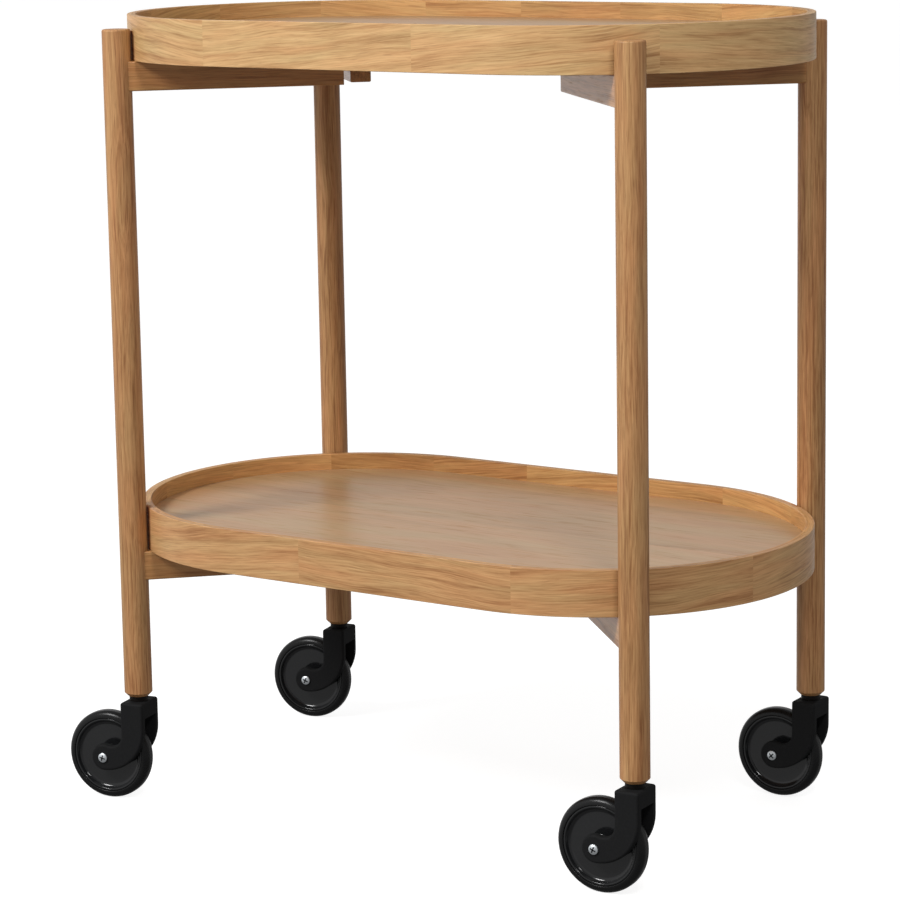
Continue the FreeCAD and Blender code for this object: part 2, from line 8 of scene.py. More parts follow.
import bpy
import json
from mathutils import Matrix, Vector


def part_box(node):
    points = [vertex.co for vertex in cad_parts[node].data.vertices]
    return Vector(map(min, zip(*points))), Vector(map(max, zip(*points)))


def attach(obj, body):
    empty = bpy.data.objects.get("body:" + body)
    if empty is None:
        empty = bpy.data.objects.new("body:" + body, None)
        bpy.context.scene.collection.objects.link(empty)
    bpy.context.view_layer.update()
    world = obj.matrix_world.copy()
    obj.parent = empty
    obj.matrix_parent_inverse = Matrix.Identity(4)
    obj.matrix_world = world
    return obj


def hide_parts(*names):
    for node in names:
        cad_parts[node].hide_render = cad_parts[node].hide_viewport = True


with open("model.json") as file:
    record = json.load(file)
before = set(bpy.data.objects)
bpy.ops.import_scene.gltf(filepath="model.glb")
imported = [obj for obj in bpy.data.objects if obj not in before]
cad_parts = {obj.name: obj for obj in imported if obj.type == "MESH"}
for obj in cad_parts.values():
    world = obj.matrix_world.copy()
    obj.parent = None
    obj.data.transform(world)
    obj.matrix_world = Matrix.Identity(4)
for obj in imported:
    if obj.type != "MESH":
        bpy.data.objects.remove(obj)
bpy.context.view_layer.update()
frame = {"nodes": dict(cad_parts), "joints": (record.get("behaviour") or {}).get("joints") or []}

# %% Modules and short names
import json
import math

import bmesh
import bpy
from mathutils import Matrix, Vector

MM = 0.001
FRAME_BODY = "frame"
CORNERS = ("front_left", "rear_left", "front_right", "rear_right")
LEVELS = ("upper", "lower")
scene = bpy.context.scene
nodes = frame["nodes"]

# %% [markdown]
# ## Reading sizes off the model
# A piece that is rebuilt here has to sit exactly where the model's own piece sits. So no size is typed
# twice: it is measured on the model's points. A box is enough for the trays, which lie along the axes.
# A leg, a wheel or a screw is a turned piece, and its whole shape lies in pairs of numbers: how far a
# point is from the axis, and where it lies along the axis.

# %% Measure the trays
rim_low, rim_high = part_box("upper_tray_rim")
panel_low, panel_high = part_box("upper_tray_panel")
tray_middle = (rim_low.x + rim_high.x) / 2
end_radius = (rim_high.y - rim_low.y) / 2
half_straight = (rim_high.x - rim_low.x) / 2 - end_radius
rim_height = rim_high.z - rim_low.z
rim_wall = end_radius - (panel_high.y - panel_low.y) / 2
half_loop = 2 * half_straight + math.pi * end_radius
print(f"tray ends {end_radius:.4f}, half straight {half_straight:.4f}, rim wall {rim_wall:.4f}")


# %% Measure a turned piece along and around its axis
def turned_points(points, place, axis):
    """Every different (radius, along) pair of these points, in millimetres to the hundredth."""
    pairs = set()
    for point in points:
        offset = point - place
        along = offset.dot(axis)
        radius = (offset - axis * along).length
        pairs.add((round(radius / MM, 2), round(along / MM, 2)))
    return sorted(pairs)


def points_of(node):
    return [vertex.co.copy() for vertex in nodes[node].data.vertices]


joints = {joint["name"]: joint for joint in frame["joints"]}


def axle_of(corner):
    """The middle of a wheel and the direction of its axle."""
    roll = joints[f"{corner}_roll"]
    return Vector(roll["pos_m"]), Vector(roll["axis"]).normalized()


hub_pairs = turned_points(points_of("front_left_wheel_hub"), *axle_of("front_left"))
tyre_pairs = turned_points(points_of("front_left_tyre"), *axle_of("front_left"))
print("hub, radius and place along the axle in mm:", [pair for pair in hub_pairs if pair[1] > 0])
print("tyre, outermost radius in mm:", max(tyre_pairs)[0])

# %% [markdown]
# ## A small kit for node graphs
# Materials, the sky and two of the shapes are graphs of nodes, and written out node by node they get long.
# This class keeps them short to write: each method adds one node and returns its output, so that formulas
# read from left to right.


# %% A graph builder
class Graph:
    """A node tree, built node by node."""

    def __init__(self, tree):
        self.tree = tree

    def add(self, kind, inputs=(), **settings):
        node = self.tree.nodes.new(kind)
        for key, value in settings.items():
            setattr(node, key, value)
        for socket, value in dict(inputs).items():
            self.feed(node.inputs[socket], value)
        return node

    def feed(self, socket, value):
        """Link a socket, to several outputs where a list is given, or set its own value."""
        entries = value if isinstance(value, list) else [value]
        for entry in entries:
            if isinstance(entry, bpy.types.NodeSocket):
                self.tree.links.new(entry, socket)
            else:
                socket.default_value = entry

    def math(self, operation, *values):
        node = self.add("ShaderNodeMath", operation=operation)
        for socket, value in zip(node.inputs, values):
            self.feed(socket, value)
        return node.outputs[0]

    def distance(self, a, b):
        """How far a step of a one way and b across it leads."""
        return self.math("SQRT", self.math("MULTIPLY_ADD", a, a, self.math("MULTIPLY", b, b)))

    def join(self, x=0.0, y=0.0, z=0.0):
        return self.add("ShaderNodeCombineXYZ", {"X": x, "Y": y, "Z": z}).outputs[0]

    def split(self, vector):
        return self.add("ShaderNodeSeparateXYZ", {"Vector": vector}).outputs


# %% [markdown]
# A material adds its own kinds of node: noise, random numbers, ramps and mixes. Sizes inside a pattern are
# given in metres, because Object coordinates are in metres.


# %% A material builder
class Shader(Graph):
    """The graph of one material."""

    def __init__(self, name):
        self.material = bpy.data.materials.new(name)
        self.material.use_nodes = True
        super().__init__(self.material.node_tree)
        self.surface = self.tree.nodes["Principled BSDF"]

    def object_place(self):
        return self.add("ShaderNodeTexCoord").outputs["Object"]

    def scaled(self, vector, factor):
        return self.add("ShaderNodeVectorMath", {0: vector, "Scale": factor}, operation="SCALE").outputs[0]

    def noise(self, vector, detail=2.0, roughness=0.5):
        """Noise between 0 and 1, for a vector already scaled to the pattern's size."""
        inputs = {"Vector": vector, "Scale": 1.0, "Detail": detail, "Roughness": roughness}
        return self.add("ShaderNodeTexNoise", inputs).outputs["Fac"]

    def random(self, number):
        """A fixed random number between 0 and 1 for each whole number."""
        return self.add("ShaderNodeTexWhiteNoise", {"W": number}, noise_dimensions="1D").outputs["Value"]

    def choose(self, switch, off, on):
        """One of two numbers, by a switch that is 0 or 1."""
        return self.add("ShaderNodeMix", {0: switch, 2: off, 3: on}, data_type="FLOAT").outputs[0]

    def ramp(self, factor, *stops):
        """Smooth steps between stops, each a place and a grey or a colour."""
        node = self.add("ShaderNodeValToRGB", {"Fac": factor})
        elements = node.color_ramp.elements
        while len(elements) < len(stops):
            elements.new(0.5)
        for element, (place, shade) in zip(elements, stops):
            element.position = place
            element.color = (*shade, 1) if isinstance(shade, tuple) else (shade, shade, shade, 1)
        return node.outputs["Color"]

    def mix(self, factor, one, other, blend="MIX"):
        """A blend of two colours."""
        node = self.add("ShaderNodeMix", data_type="RGBA", blend_type=blend)
        for socket, value in zip((node.inputs[0], node.inputs[6], node.inputs[7]), (factor, one, other)):
            if isinstance(value, tuple):
                value = (*value, 1)
            self.feed(socket, value)
        return node.outputs[2]

    def bump(self, height, distance, strength=1.0):
        inputs = {"Height": height, "Distance": distance, "Strength": strength}
        self.feed(self.surface.inputs["Normal"], self.add("ShaderNodeBump", inputs).outputs[0])

    def finish(self, **sockets):
        """Set the surface's own sockets, and hand the material over."""
        for name, value in sockets.items():
            if isinstance(value, tuple):
                value = (*value, 1)
            self.feed(self.surface.inputs[name.replace("_", " ")], value)
        return self.material


# %% [markdown]
# ## Oak
# Oak is lines at several sizes. Broad bands drift from honey to brown. Growth rings draw thin dark lines
# of late wood a few millimetres apart. Between them lie short strokes, fibres and dark pores. Each of
# them is a noise that is stretched along the grain, and the sum picks a colour between dark and light.
# The pattern is solid: it fills space, like the wood of a tree round its pith. Cutting a piece out of
# it draws stripes, flames and end grain by itself, where a flat picture would need a view for each face.
# Each pair of sizes is a pattern's length along the grain and its width across it.

# %% The scales of the wood
BAND = (240 * MM, 7 * MM)
HUE_DRIFT = (110 * MM, 13 * MM)
STROKE = (34 * MM, 1.5 * MM)
FIBRE = (80 * MM, 1.0 * MM)
PORE = (24 * MM, 1.15 * MM)
WAVE_SIZE = (95 * MM, 26 * MM)
WAVE_HEIGHT = 9.0 * MM
RING_SPACING = 3.6 * MM
print(f"a ring every {RING_SPACING / MM:.1f} mm, strokes {STROKE[0] / MM:.0f} mm long")

# %% [markdown]
# How strongly each of them shows is a number too. The ramps cut a noise into shape: only its peaks become
# pores, and late wood comes on slowly through the year and stops short at the ring's edge. The drift is a
# faint change of hue, redder at one end and yellower at the other.

# %% The strength of each pattern
EVEN_SHADE = 0.58
STROKE_STRENGTH = 1.45
FIBRE_STRENGTH = 0.80
LATE_WOOD_STRENGTH = 0.26
PORE_STRENGTH = 0.30
PORE_DULLNESS = 0.15
PORE_PEAKS = ((0.56, 0.0), (0.70, 1.0))
LATE_WOOD = ((0.0, 0.0), (0.62, 0.08), (0.84, 1.0), (0.93, 1.0), (1.0, 0.0))
LATE_WOOD_IN_BANDS = ((0.38, 1.0), (0.60, 0.25))
DRIFT = ((0.34, (1.03, 0.95, 0.90)), (0.66, (0.98, 1.03, 1.00)))
DARK_SHARES = (0.62, 0.52, 0.43)
LIGHT_SHARES = (1.30, 1.40, 1.52)
LIGHTEST = 0.95
GRAIN_RELIEF = 0.10 * MM
OAK_SHEEN = 0.4


# %% Stretch the grain and grow the rings
def stretched(shader, place, grain):
    """The place in the wood, scaled so that one unit is this long and this wide."""
    length, width = grain
    x = shader.math("DIVIDE", place[0], length)
    y = shader.math("DIVIDE", place[1], width)
    z = shader.math("DIVIDE", place[2], width)
    return shader.join(x, y, z)


def growth_rings(shader, place, pith_across, pith_depth, lean):
    """How far each place lies between one ring and the next, from 0 to 1.

    The pith lies beside the piece, and it leans, so that its distance changes along the grain.
    """
    along, across, depth = place
    leaning = shader.math("MULTIPLY", along, lean)
    side = shader.math("SUBTRACT", across, pith_across)
    deep = shader.math("ADD", shader.math("SUBTRACT", depth, pith_depth), leaning)
    return shader.math("FRACT", shader.math("DIVIDE", shader.distance(side, deep), RING_SPACING))


def waved(shader, place):
    """The place in the wood after the grain's own slow waves are taken out."""
    along, across, depth = place
    wave = shader.noise(stretched(shader, place, WAVE_SIZE), detail=1.0)
    return along, shader.math("MULTIPLY_ADD", wave, WAVE_HEIGHT, across), depth


# %% Colour, gloss and pores from the place in the wood
def darker(colour):
    """The same oak in its dark lines: less light, and more red in what is left."""
    return tuple(c * share for c, share in zip(colour, DARK_SHARES))


def lighter(colour):
    return tuple(min(c * share, LIGHTEST) for c, share in zip(colour, LIGHT_SHARES))


def about_middle(shader, noise):
    """The noise less its middle value, so that it adds no light of its own."""
    return shader.math("SUBTRACT", noise, 0.5)


def oak_finish(shader, place, rings, colour, tone=0.0, contrast=1.0, banding=0.7, roughness=0.5, tint=None):
    """Sets the surface's colour, gloss and bump; tone makes the whole piece lighter or darker."""
    bands = shader.noise(stretched(shader, place, BAND))
    hue = shader.noise(stretched(shader, place, HUE_DRIFT))
    strokes = shader.noise(stretched(shader, place, STROKE), detail=3.0, roughness=0.6)
    fibres = shader.noise(stretched(shader, place, FIBRE), roughness=0.7)
    pores = shader.ramp(shader.noise(stretched(shader, place, PORE), roughness=0.6), *PORE_PEAKS)
    shown = shader.ramp(bands, *LATE_WOOD_IN_BANDS)
    late_wood = shader.math("MULTIPLY", shader.ramp(rings, *LATE_WOOD), shown)
    shade = EVEN_SHADE
    for pattern, strength in ((strokes, STROKE_STRENGTH), (fibres, FIBRE_STRENGTH), (bands, banding)):
        shade = shader.math("MULTIPLY_ADD", about_middle(shader, pattern), strength * contrast, shade)
    shade = shader.math("MULTIPLY_ADD", late_wood, -LATE_WOOD_STRENGTH * contrast, shade)
    shade = shader.math("ADD", shade, tone)
    wood = shader.ramp(shade, (0.0, darker(colour)), (0.5, colour), (1.0, lighter(colour)))
    wood = shader.mix(1.0, wood, shader.ramp(hue, *DRIFT), "MULTIPLY")
    pore_shade = shader.math("MULTIPLY", pores, PORE_STRENGTH * contrast)
    wood = shader.mix(pore_shade, wood, darker(darker(colour)))
    if tint is not None:
        wood = shader.mix(1.0, wood, tint, "MULTIPLY")
    relief = shader.math("MULTIPLY_ADD", pores, -1.0, shader.math("MULTIPLY", fibres, 0.5))
    shader.bump(relief, GRAIN_RELIEF, strength=0.5)
    gloss = shader.math("MULTIPLY_ADD", pores, PORE_DULLNESS, roughness)
    return shader.finish(Base_Color=wood, Roughness=gloss, Specular_IOR_Level=OAK_SHEEN)


# %% [markdown]
# ## Straight-grained pieces
# A leg is turned from one stick, so the grain runs up it. Each leg comes from another part of the tree:
# its pith lies on another side and leans another way. A rail is a bar along the diagonal, so the same
# wood is turned by 45 degrees and laid down. A Mapping node does that, and the model stays as it is.

# %% Make straight-grained oak
PITH_NEAR = 30 * MM
PITH_STEP = 9 * MM
LEANS = (0.012, -0.009, 0.015, -0.012)
GOLDEN_TURN = math.radians(137.5)
TREE_STEP = 1.7


def straight_oak(name, origin, turn, upright, seed, colour, **look):
    """Oak whose grain follows a leg or a rail that starts at the origin."""
    shader = Shader(name)
    moved = shader.add("ShaderNodeMapping", {"Vector": shader.object_place()}, vector_type="TEXTURE")
    moved.inputs["Location"].default_value = origin
    moved.inputs["Rotation"].default_value = (0, 0, turn)
    x, y, z = shader.split(moved.outputs[0])
    along, across, depth = (z, x, y) if upright else (x, z, y)
    place = waved(shader, (shader.math("ADD", along, TREE_STEP * seed), across, depth))
    reach = PITH_NEAR + PITH_STEP * (seed % 4)
    swing = GOLDEN_TURN * seed
    rings = growth_rings(shader, place, reach * math.cos(swing), reach * math.sin(swing), LEANS[seed % 4])
    return oak_finish(shader, place, rings, colour, **look)


def paint(node, material):
    """Give a piece of the model this material in each of its slots."""
    piece = nodes[node]
    if not piece.material_slots:
        piece.data.materials.append(material)
    for slot in piece.material_slots:
        slot.material = material


# %% [markdown]
# ## A lathe
# Legs, wheels and tyres are turned or moulded round, so one tool makes them all: an outline of (radius,
# along) points is carried round an axis. A real edge is never quite sharp, and it is the tiny round on
# an edge that catches the light. So the outline's corners are first replaced with short arcs.


# %% Round the corners of an outline
def corner_arc(before, corner, after, radius, steps):
    """The points of the arc that takes a corner's place."""
    back = (before - corner).normalized()
    on = (after - corner).normalized()
    half = back.angle(on) / 2
    centre = corner + (back + on).normalized() * (radius / math.sin(half))
    reach = radius / math.tan(half)
    start = corner + back * reach - centre
    finish = corner + on * reach - centre
    turn = math.atan2(start.x * finish.y - start.y * finish.x, start.dot(finish))
    return [centre + Matrix.Rotation(turn * step / steps, 2) @ start for step in range(steps + 1)]


def rounded(corners, closed, steps=4):
    """An outline from (radius, along, rounding) corners; a rounding of 0 leaves the corner sharp."""
    places = [Vector((radius, along)) for radius, along, rounding in corners]
    outline = []
    for index, (radius, along, rounding) in enumerate(corners):
        at_end = not closed and index in (0, len(corners) - 1)
        if rounding == 0 or at_end:
            outline.append(places[index])
        else:
            after = places[(index + 1) % len(places)]
            outline += corner_arc(places[index - 1], places[index], after, rounding, steps)
    return outline


# %% Face outwards and settle the shading
MERGE_REACH = 0.002 * MM
CUBIC_CM = 1e-6
LARGE_FACES_WIN = 100


def face_outwards(mesh):
    """Merge doubles, point every face outwards and give the volume in cubic centimetres."""
    work = bmesh.new()
    work.from_mesh(mesh)
    bmesh.ops.remove_doubles(work, verts=work.verts, dist=MERGE_REACH)
    bmesh.ops.recalc_face_normals(work, faces=work.faces)
    volume = work.calc_volume(signed=True)
    if volume < 0:
        bmesh.ops.reverse_faces(work, faces=work.faces)
    work.to_mesh(mesh)
    work.free()
    return abs(volume) / CUBIC_CM


def bake(piece):
    """Keep what a piece's modifiers make of it as its own mesh."""
    evaluated = piece.evaluated_get(bpy.context.evaluated_depsgraph_get())
    made = bpy.data.meshes.new_from_object(evaluated)
    piece.modifiers.clear()
    piece.data = made


def settle(piece):
    """Shade smoothly, with large faces kept flat."""
    piece.data.shade_smooth()
    weigh = piece.modifiers.new("weights", "WEIGHTED_NORMAL")
    weigh.keep_sharp = True
    weigh.weight = LARGE_FACES_WIN
    bake(piece)


# %% Turn an outline on the lathe
def turned_mesh(name, outline, place, axis, segments, closed):
    """Carry an outline round an axis; a closed outline gives a ring, an open one starts on the axis."""
    stand = Matrix.Translation(place) @ axis.to_track_quat("Z", "Y").to_matrix().to_4x4()
    points = []
    for corner in outline:
        for step in range(segments):
            angle = 2 * math.pi * step / segments
            local = Vector((corner.x * math.cos(angle), corner.x * math.sin(angle), corner.y))
            points.append(stand @ local)
    faces = []
    for row in range(len(outline) if closed else len(outline) - 1):
        here = row * segments
        above = (row + 1) % len(outline) * segments
        for step in range(segments):
            after = (step + 1) % segments
            faces.append((here + step, here + after, above + after, above + step))
    mesh = bpy.data.meshes.new(name)
    mesh.from_pydata(points, [], faces)
    return mesh


def lathe(name, outline, place, axis, material, segments=96, closed=True):
    """A finished turned piece."""
    mesh = turned_mesh(name, outline, place, axis, segments, closed)
    volume = face_outwards(mesh)
    mesh.materials.append(material)
    piece = bpy.data.objects.new(name, mesh)
    scene.collection.objects.link(piece)
    settle(piece)
    print(f"{name}: {len(mesh.polygons)} faces, {volume:.2f} cm3")
    return piece


# %% [markdown]
# ## The legs
# Each leg is a rod with a chamfered foot, a softened top and a bore for the caster's threaded sleeve.
# Its sizes are read off the model's own leg, and the lathe turns it with enough steps to look round.

# %% Turn the legs
LEG_OAK = (0.430, 0.216, 0.087)
LEG_TONES = {"front_left": 0.05, "rear_left": -0.06, "front_right": 0.02, "rear_right": -0.03}
LEG_EDGE = 0.5 * MM
LEG_TURN = 0.9
Z_AXIS = Vector((0, 0, 1))
bore_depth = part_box("leg_inserts")[1].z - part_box("leg_inserts")[0].z
leg_places = {}


def leg_outline(corner):
    """The leg's outline, from the bore's floor round the foot and up to the middle of the top."""
    pairs = turned_points(points_of(f"{corner}_leg"), leg_places[corner], Z_AXIS)
    height = max(along for radius, along in pairs)
    leg_radius = max(radius for radius, along in pairs)
    foot = [radius for radius, along in pairs if along == 0]
    top = max(radius for radius, along in pairs if along == height)
    chamfer_top = min(along for radius, along in pairs if radius == leg_radius)
    corners = [
        (0, bore_depth / MM, 0),
        (min(foot), bore_depth / MM, 0),
        (min(foot), 0, 0),
        (max(foot), 0, LEG_EDGE / MM),
        (leg_radius, chamfer_top, LEG_EDGE / MM),
        (leg_radius, height, leg_radius - top),
        (0, height, 0),
    ]
    return [point * MM for point in rounded(corners, closed=False)]


for seed, corner in enumerate(CORNERS, 3):
    low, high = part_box(f"{corner}_leg")
    leg_places[corner] = Vector(((low.x + high.x) / 2, (low.y + high.y) / 2, low.z))
    oak = straight_oak(f"oak_leg_{corner}", leg_places[corner], LEG_TURN * seed, upright=True, seed=seed,
                       colour=LEG_OAK, tone=LEG_TONES[corner], contrast=1.2, banding=0.9, roughness=0.48)
    leg = lathe(f"{corner}_turned_leg", leg_outline(corner), leg_places[corner], Z_AXIS, oak, closed=False)
    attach(leg, FRAME_BODY)
    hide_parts(f"{corner}_leg")

# %% [markdown]
# ## The rails
# A rail runs from its leg towards the middle, at 45 degrees to the trolley's sides. Its shape is right
# in the model, so it keeps its mesh, and only the wood is laid along it.

# %% Paint the rails
RAIL_OAK = (0.460, 0.218, 0.078)
for level_number, level in enumerate(LEVELS):
    for seed, corner in enumerate(CORNERS, 7 + 4 * level_number):
        place = leg_places[corner]
        to_left = place.x > tray_middle
        to_front = place.y > 0
        inward = math.radians(135 if to_left else 45) * (-1 if to_front else 1)
        origin = Vector((place.x, place.y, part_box(f"{level}_{corner}_rail")[0].z))
        oak = straight_oak(f"oak_rail_{level}_{corner}", origin, inward, upright=False, seed=seed,
                           colour=RAIL_OAK, tone=-0.02, roughness=0.32)
        paint(f"{level}_{corner}_rail", oak)
print("eight rails painted")

# %% [markdown]
# ## The tray panels
# Each panel is a board faced with sheets of veneer, laid side by side, with the grain along the tray.
# Veneer is sliced flat, so the pith lies far under the face, and the pattern is stretched into wide, calm
# flames. The panel is paler and greyer than the legs, and its lacquer mirrors the sky a little.

# %% Make veneer
VENEER_OAK = (0.440, 0.262, 0.130)
VENEER_WIDTH = 150 * MM
VENEER_LEAN = 0.02
VENEER_STRETCH = (0.6, 0.42)
VENEER_FLATNESS = 0.3
VENEER_PITH = (30 * MM, 12 * MM)
SHEET_SPREAD = 0.16
SHEET_SHIFT = 0.4
SHEET_DRAW_STEP = 7.0
BOARD_STEP = 1.3


def veneer_oak(name, seed):
    """Veneer sheets of one width; each has its own figure and its own shade."""
    shader = Shader(name)
    x, y, z = shader.split(shader.object_place())
    from_edge = shader.math("ADD", y, 3 * end_radius)
    sheet = shader.math("FLOOR", shader.math("DIVIDE", from_edge, VENEER_WIDTH))
    pick = shader.random(shader.math("ADD", sheet, SHEET_DRAW_STEP * seed))
    shifted = shader.math("MULTIPLY", pick, SHEET_SHIFT)
    across = shader.math("ADD", shader.math("MODULO", from_edge, VENEER_WIDTH), shifted)
    middle = shader.math("ADD", shifted, VENEER_WIDTH / 2)
    along = shader.math("MULTIPLY", shader.math("ADD", x, BOARD_STEP * seed), VENEER_STRETCH[0])
    across = shader.math("MULTIPLY", across, VENEER_STRETCH[1])
    middle = shader.math("MULTIPLY", middle, VENEER_STRETCH[1])
    place = waved(shader, (along, across, shader.math("MULTIPLY", z, VENEER_FLATNESS)))
    pith_depth = -VENEER_PITH[0] - VENEER_PITH[1] * seed
    rings = growth_rings(shader, place, middle, pith_depth, VENEER_LEAN)
    tone = shader.math("MULTIPLY_ADD", pick, SHEET_SPREAD, -SHEET_SPREAD / 2)
    return oak_finish(shader, place, rings, VENEER_OAK, tone, contrast=0.38, banding=0.8, roughness=0.34)


for seed, level in enumerate(LEVELS, 1):
    paint(f"{level}_tray_panel", veneer_oak(f"oak_veneer_{level}", seed))
print(f"two panels veneered with sheets {VENEER_WIDTH:.2f} m wide")

# %% [markdown]
# ## Grain that follows a bend
# The rim is a strip bent round the panel, so its grain goes round with it. A solid pattern along X would
# run out of the wood at the rounded ends. So the material first unbends the rim: from a point's place it
# works out how far round the loop it lies, how deep in the wall and how high. The oak then grows in that
# straightened space.


# %% Unbend the rim
def unbent(shader, bottom):
    """How far round the rim from the middle of its back, how deep inside its outer face, and how high."""
    x, y, z = shader.split(shader.object_place())
    x = shader.math("SUBTRACT", x, tray_middle)
    side = shader.math("ABSOLUTE", x)
    past_straight = shader.math("MAXIMUM", shader.math("SUBTRACT", side, half_straight), 0.0)
    bend = shader.math("ARCTAN2", past_straight, shader.math("ABSOLUTE", y))
    quarter = shader.math("MULTIPLY_ADD", bend, end_radius, shader.math("MINIMUM", side, half_straight))
    at_back_run = shader.math("MULTIPLY", quarter, shader.math("SIGN", x))
    at_front_run = shader.math("SUBTRACT", half_loop, at_back_run)
    run = shader.choose(shader.math("GREATER_THAN", y, 0.0), at_front_run, at_back_run)
    reach = shader.distance(y, past_straight)
    return run, shader.math("SUBTRACT", end_radius, reach), shader.math("SUBTRACT", z, bottom)


# %% [markdown]
# The strip is joined from staves, and each stave is another piece of wood. So the run round the rim is cut
# into equal lengths, and a stave's number draws its own figure and shade.

# %% Cut the run into staves
OUTER_STAVES = 8
INNER_STAVES = 16
DRAW_STEP = 31.0
COUNT_STEP = 0.37
INNER_SEED_STEP = 5


def stave_of(shader, run, count, offset, seed):
    """How far along its stave a place lies, and three random numbers of that stave."""
    length = 2 * half_loop / count
    turns = shader.math("DIVIDE", shader.math("ADD", run, 2 * half_loop + offset), length)
    number = shader.math("MODULO", shader.math("FLOOR", turns), float(count))
    along = shader.math("MULTIPLY", shader.math("FRACT", turns), length)
    starts = [seed + COUNT_STEP * count + DRAW_STEP * draw for draw in range(3)]
    return along, [shader.random(shader.math("ADD", number, start)) for start in starts]


print(f"staves of {2 * half_loop / OUTER_STAVES:.3f} m outside, {2 * half_loop / INNER_STAVES:.3f} m inside")


# %% [markdown]
# The rim passes each leg with a gap of a millimetre. There the rim gets painted shade: its colour is
# darkened and its lacquer made rough. The trolley is the same on all four sides, so the distance to one
# leg's axis is enough, once a place's own side is dropped from its numbers.

# %% Find the gap beside a leg
# painted shade: how near a leg's axis, and up to what height, the rim is darkened
GAP_SHADE_REACH = ((16.5 * MM, 1.0), (19.0 * MM, 0.0))
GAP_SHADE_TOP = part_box("front_right_leg")[1].z - 2 * MM


def painted_gap_shade(shader):
    """1 where painted shade darkens the rim beside a leg, 0 elsewhere; one leg stands for all four."""
    x, y, z = shader.split(shader.object_place())
    leg = leg_places["front_right"]
    side = shader.math("ABSOLUTE", shader.math("SUBTRACT", x, tray_middle))
    off_side = shader.math("SUBTRACT", side, leg.x - tray_middle)
    off_front = shader.math("ADD", shader.math("ABSOLUTE", y), leg.y)
    close = shader.ramp(shader.distance(off_side, off_front), *GAP_SHADE_REACH)
    return shader.math("MULTIPLY", close, shader.math("LESS_THAN", z, GAP_SHADE_TOP))


# %% Make bent oak
STAVE_STEP = 9.0
STAVE_SHIFT = 0.5
STAVE_SLOPE = 0.26
STAVE_PITH = (100 * MM, -40 * MM)
STAVE_PITH_DEPTH = -55 * MM
STAVE_LEAN = 0.012
OUTER_SPREAD = 0.12
INNER_SPREAD = 0.34
RIM_ROUGHNESS = 0.46
GAP_SHADE_ROUGHNESS = 1.0
# painted shade: the colour the rim is multiplied by in the gap beside a leg
GAP_PAINTED_SHADE = (0.55, 0.33, 0.18)


def bent_oak(name, bottom, seed, outer_offset, colour, inner_tint):
    """Oak staves bent round a tray; the inner face has more staves, and they differ more."""
    shader = Shader(name)
    run, depth, height = unbent(shader, bottom)
    inside = shader.math("GREATER_THAN", depth, rim_wall / 2)
    outer = stave_of(shader, run, OUTER_STAVES, outer_offset, seed)
    inner = stave_of(shader, run, INNER_STAVES, half_loop / INNER_STAVES, seed + INNER_SEED_STEP)
    along = shader.choose(inside, outer[0], inner[0])
    first, second, third = (shader.choose(inside, a, b) for a, b in zip(outer[1], inner[1]))
    shift = shader.math("MULTIPLY", second, STAVE_SHIFT)
    across = shader.math("ADD", shift, height)
    pith = shader.math("MULTIPLY_ADD", third, STAVE_PITH[0], shader.math("ADD", shift, STAVE_PITH[1]))
    slope = shader.math("MULTIPLY", about_middle(shader, third), STAVE_SLOPE)
    across = shader.math("MULTIPLY_ADD", along, slope, across)
    place = waved(shader, (shader.math("MULTIPLY_ADD", first, STAVE_STEP, along), across, depth))
    rings = growth_rings(shader, place, pith, STAVE_PITH_DEPTH, STAVE_LEAN)
    spread = shader.choose(inside, OUTER_SPREAD, INNER_SPREAD)
    tone = shader.math("MULTIPLY", about_middle(shader, first), spread)
    # painted shade in the gap beside each leg: darker colour and rougher lacquer
    gap_shade = painted_gap_shade(shader)
    tint = shader.mix(gap_shade, shader.mix(inside, (1.0, 1.0, 1.0), inner_tint), GAP_PAINTED_SHADE)
    gloss = shader.math("MULTIPLY_ADD", gap_shade, GAP_SHADE_ROUGHNESS - RIM_ROUGHNESS, RIM_ROUGHNESS)
    return oak_finish(shader, place, rings, colour, tone, roughness=gloss, tint=tint)


rim_oaks = {
    "upper": bent_oak("oak_rim_upper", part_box("upper_tray_rim")[0].z, seed=2.0, outer_offset=0.0795,
                      colour=(0.540, 0.322, 0.142), inner_tint=(0.90, 0.82, 0.70)),
    "lower": bent_oak("oak_rim_lower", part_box("lower_tray_rim")[0].z, seed=9.0, outer_offset=-0.0556,
                      colour=(0.522, 0.282, 0.119), inner_tint=(1.00, 0.94, 0.80)),
}
print("rims of", [oak.name for oak in rim_oaks.values()])

# %% [markdown]
# ## Sweeping a rim with Geometry Nodes
# The rim's shape follows a rule: one rounded section, carried round an oval. Geometry Nodes say exactly
# that. A circle's points are pushed apart by the straight's length, which makes the oval path, and a
# filleted rectangle is swept along it. Its sizes stay named inputs, so one tree makes both rims.


# %% Start a Geometry Nodes tree
class Tree(Graph):
    """A Geometry Nodes group with named inputs."""

    def __init__(self, name, **inputs):
        super().__init__(bpy.data.node_groups.new(name, "GeometryNodeTree"))
        interface = self.tree.interface
        interface.new_socket("Geometry", in_out="OUTPUT", socket_type="NodeSocketGeometry")
        interface.new_socket("Geometry", in_out="INPUT", socket_type="NodeSocketGeometry")
        self.sockets = {}
        for label, kind in inputs.items():
            item = interface.new_socket(label, in_out="INPUT", socket_type=f"NodeSocket{kind}")
            self.sockets[label] = item.identifier
        self.start = self.tree.nodes.new("NodeGroupInput")
        self.end = self.tree.nodes.new("NodeGroupOutput")

    def given(self, label):
        return self.start.outputs[label]

    def moved(self, geometry, shift):
        return self.add("GeometryNodeTransform", {"Geometry": geometry, "Translation": shift}).outputs[0]

    def close(self, geometry):
        """Realise instances, set the material and send the result out."""
        solid = self.add("GeometryNodeRealizeInstances", {0: geometry}).outputs[0]
        named = self.add("GeometryNodeSetMaterial", {"Geometry": solid, "Material": self.given("Material")})
        self.feed(self.end.inputs[0], named.outputs[0])


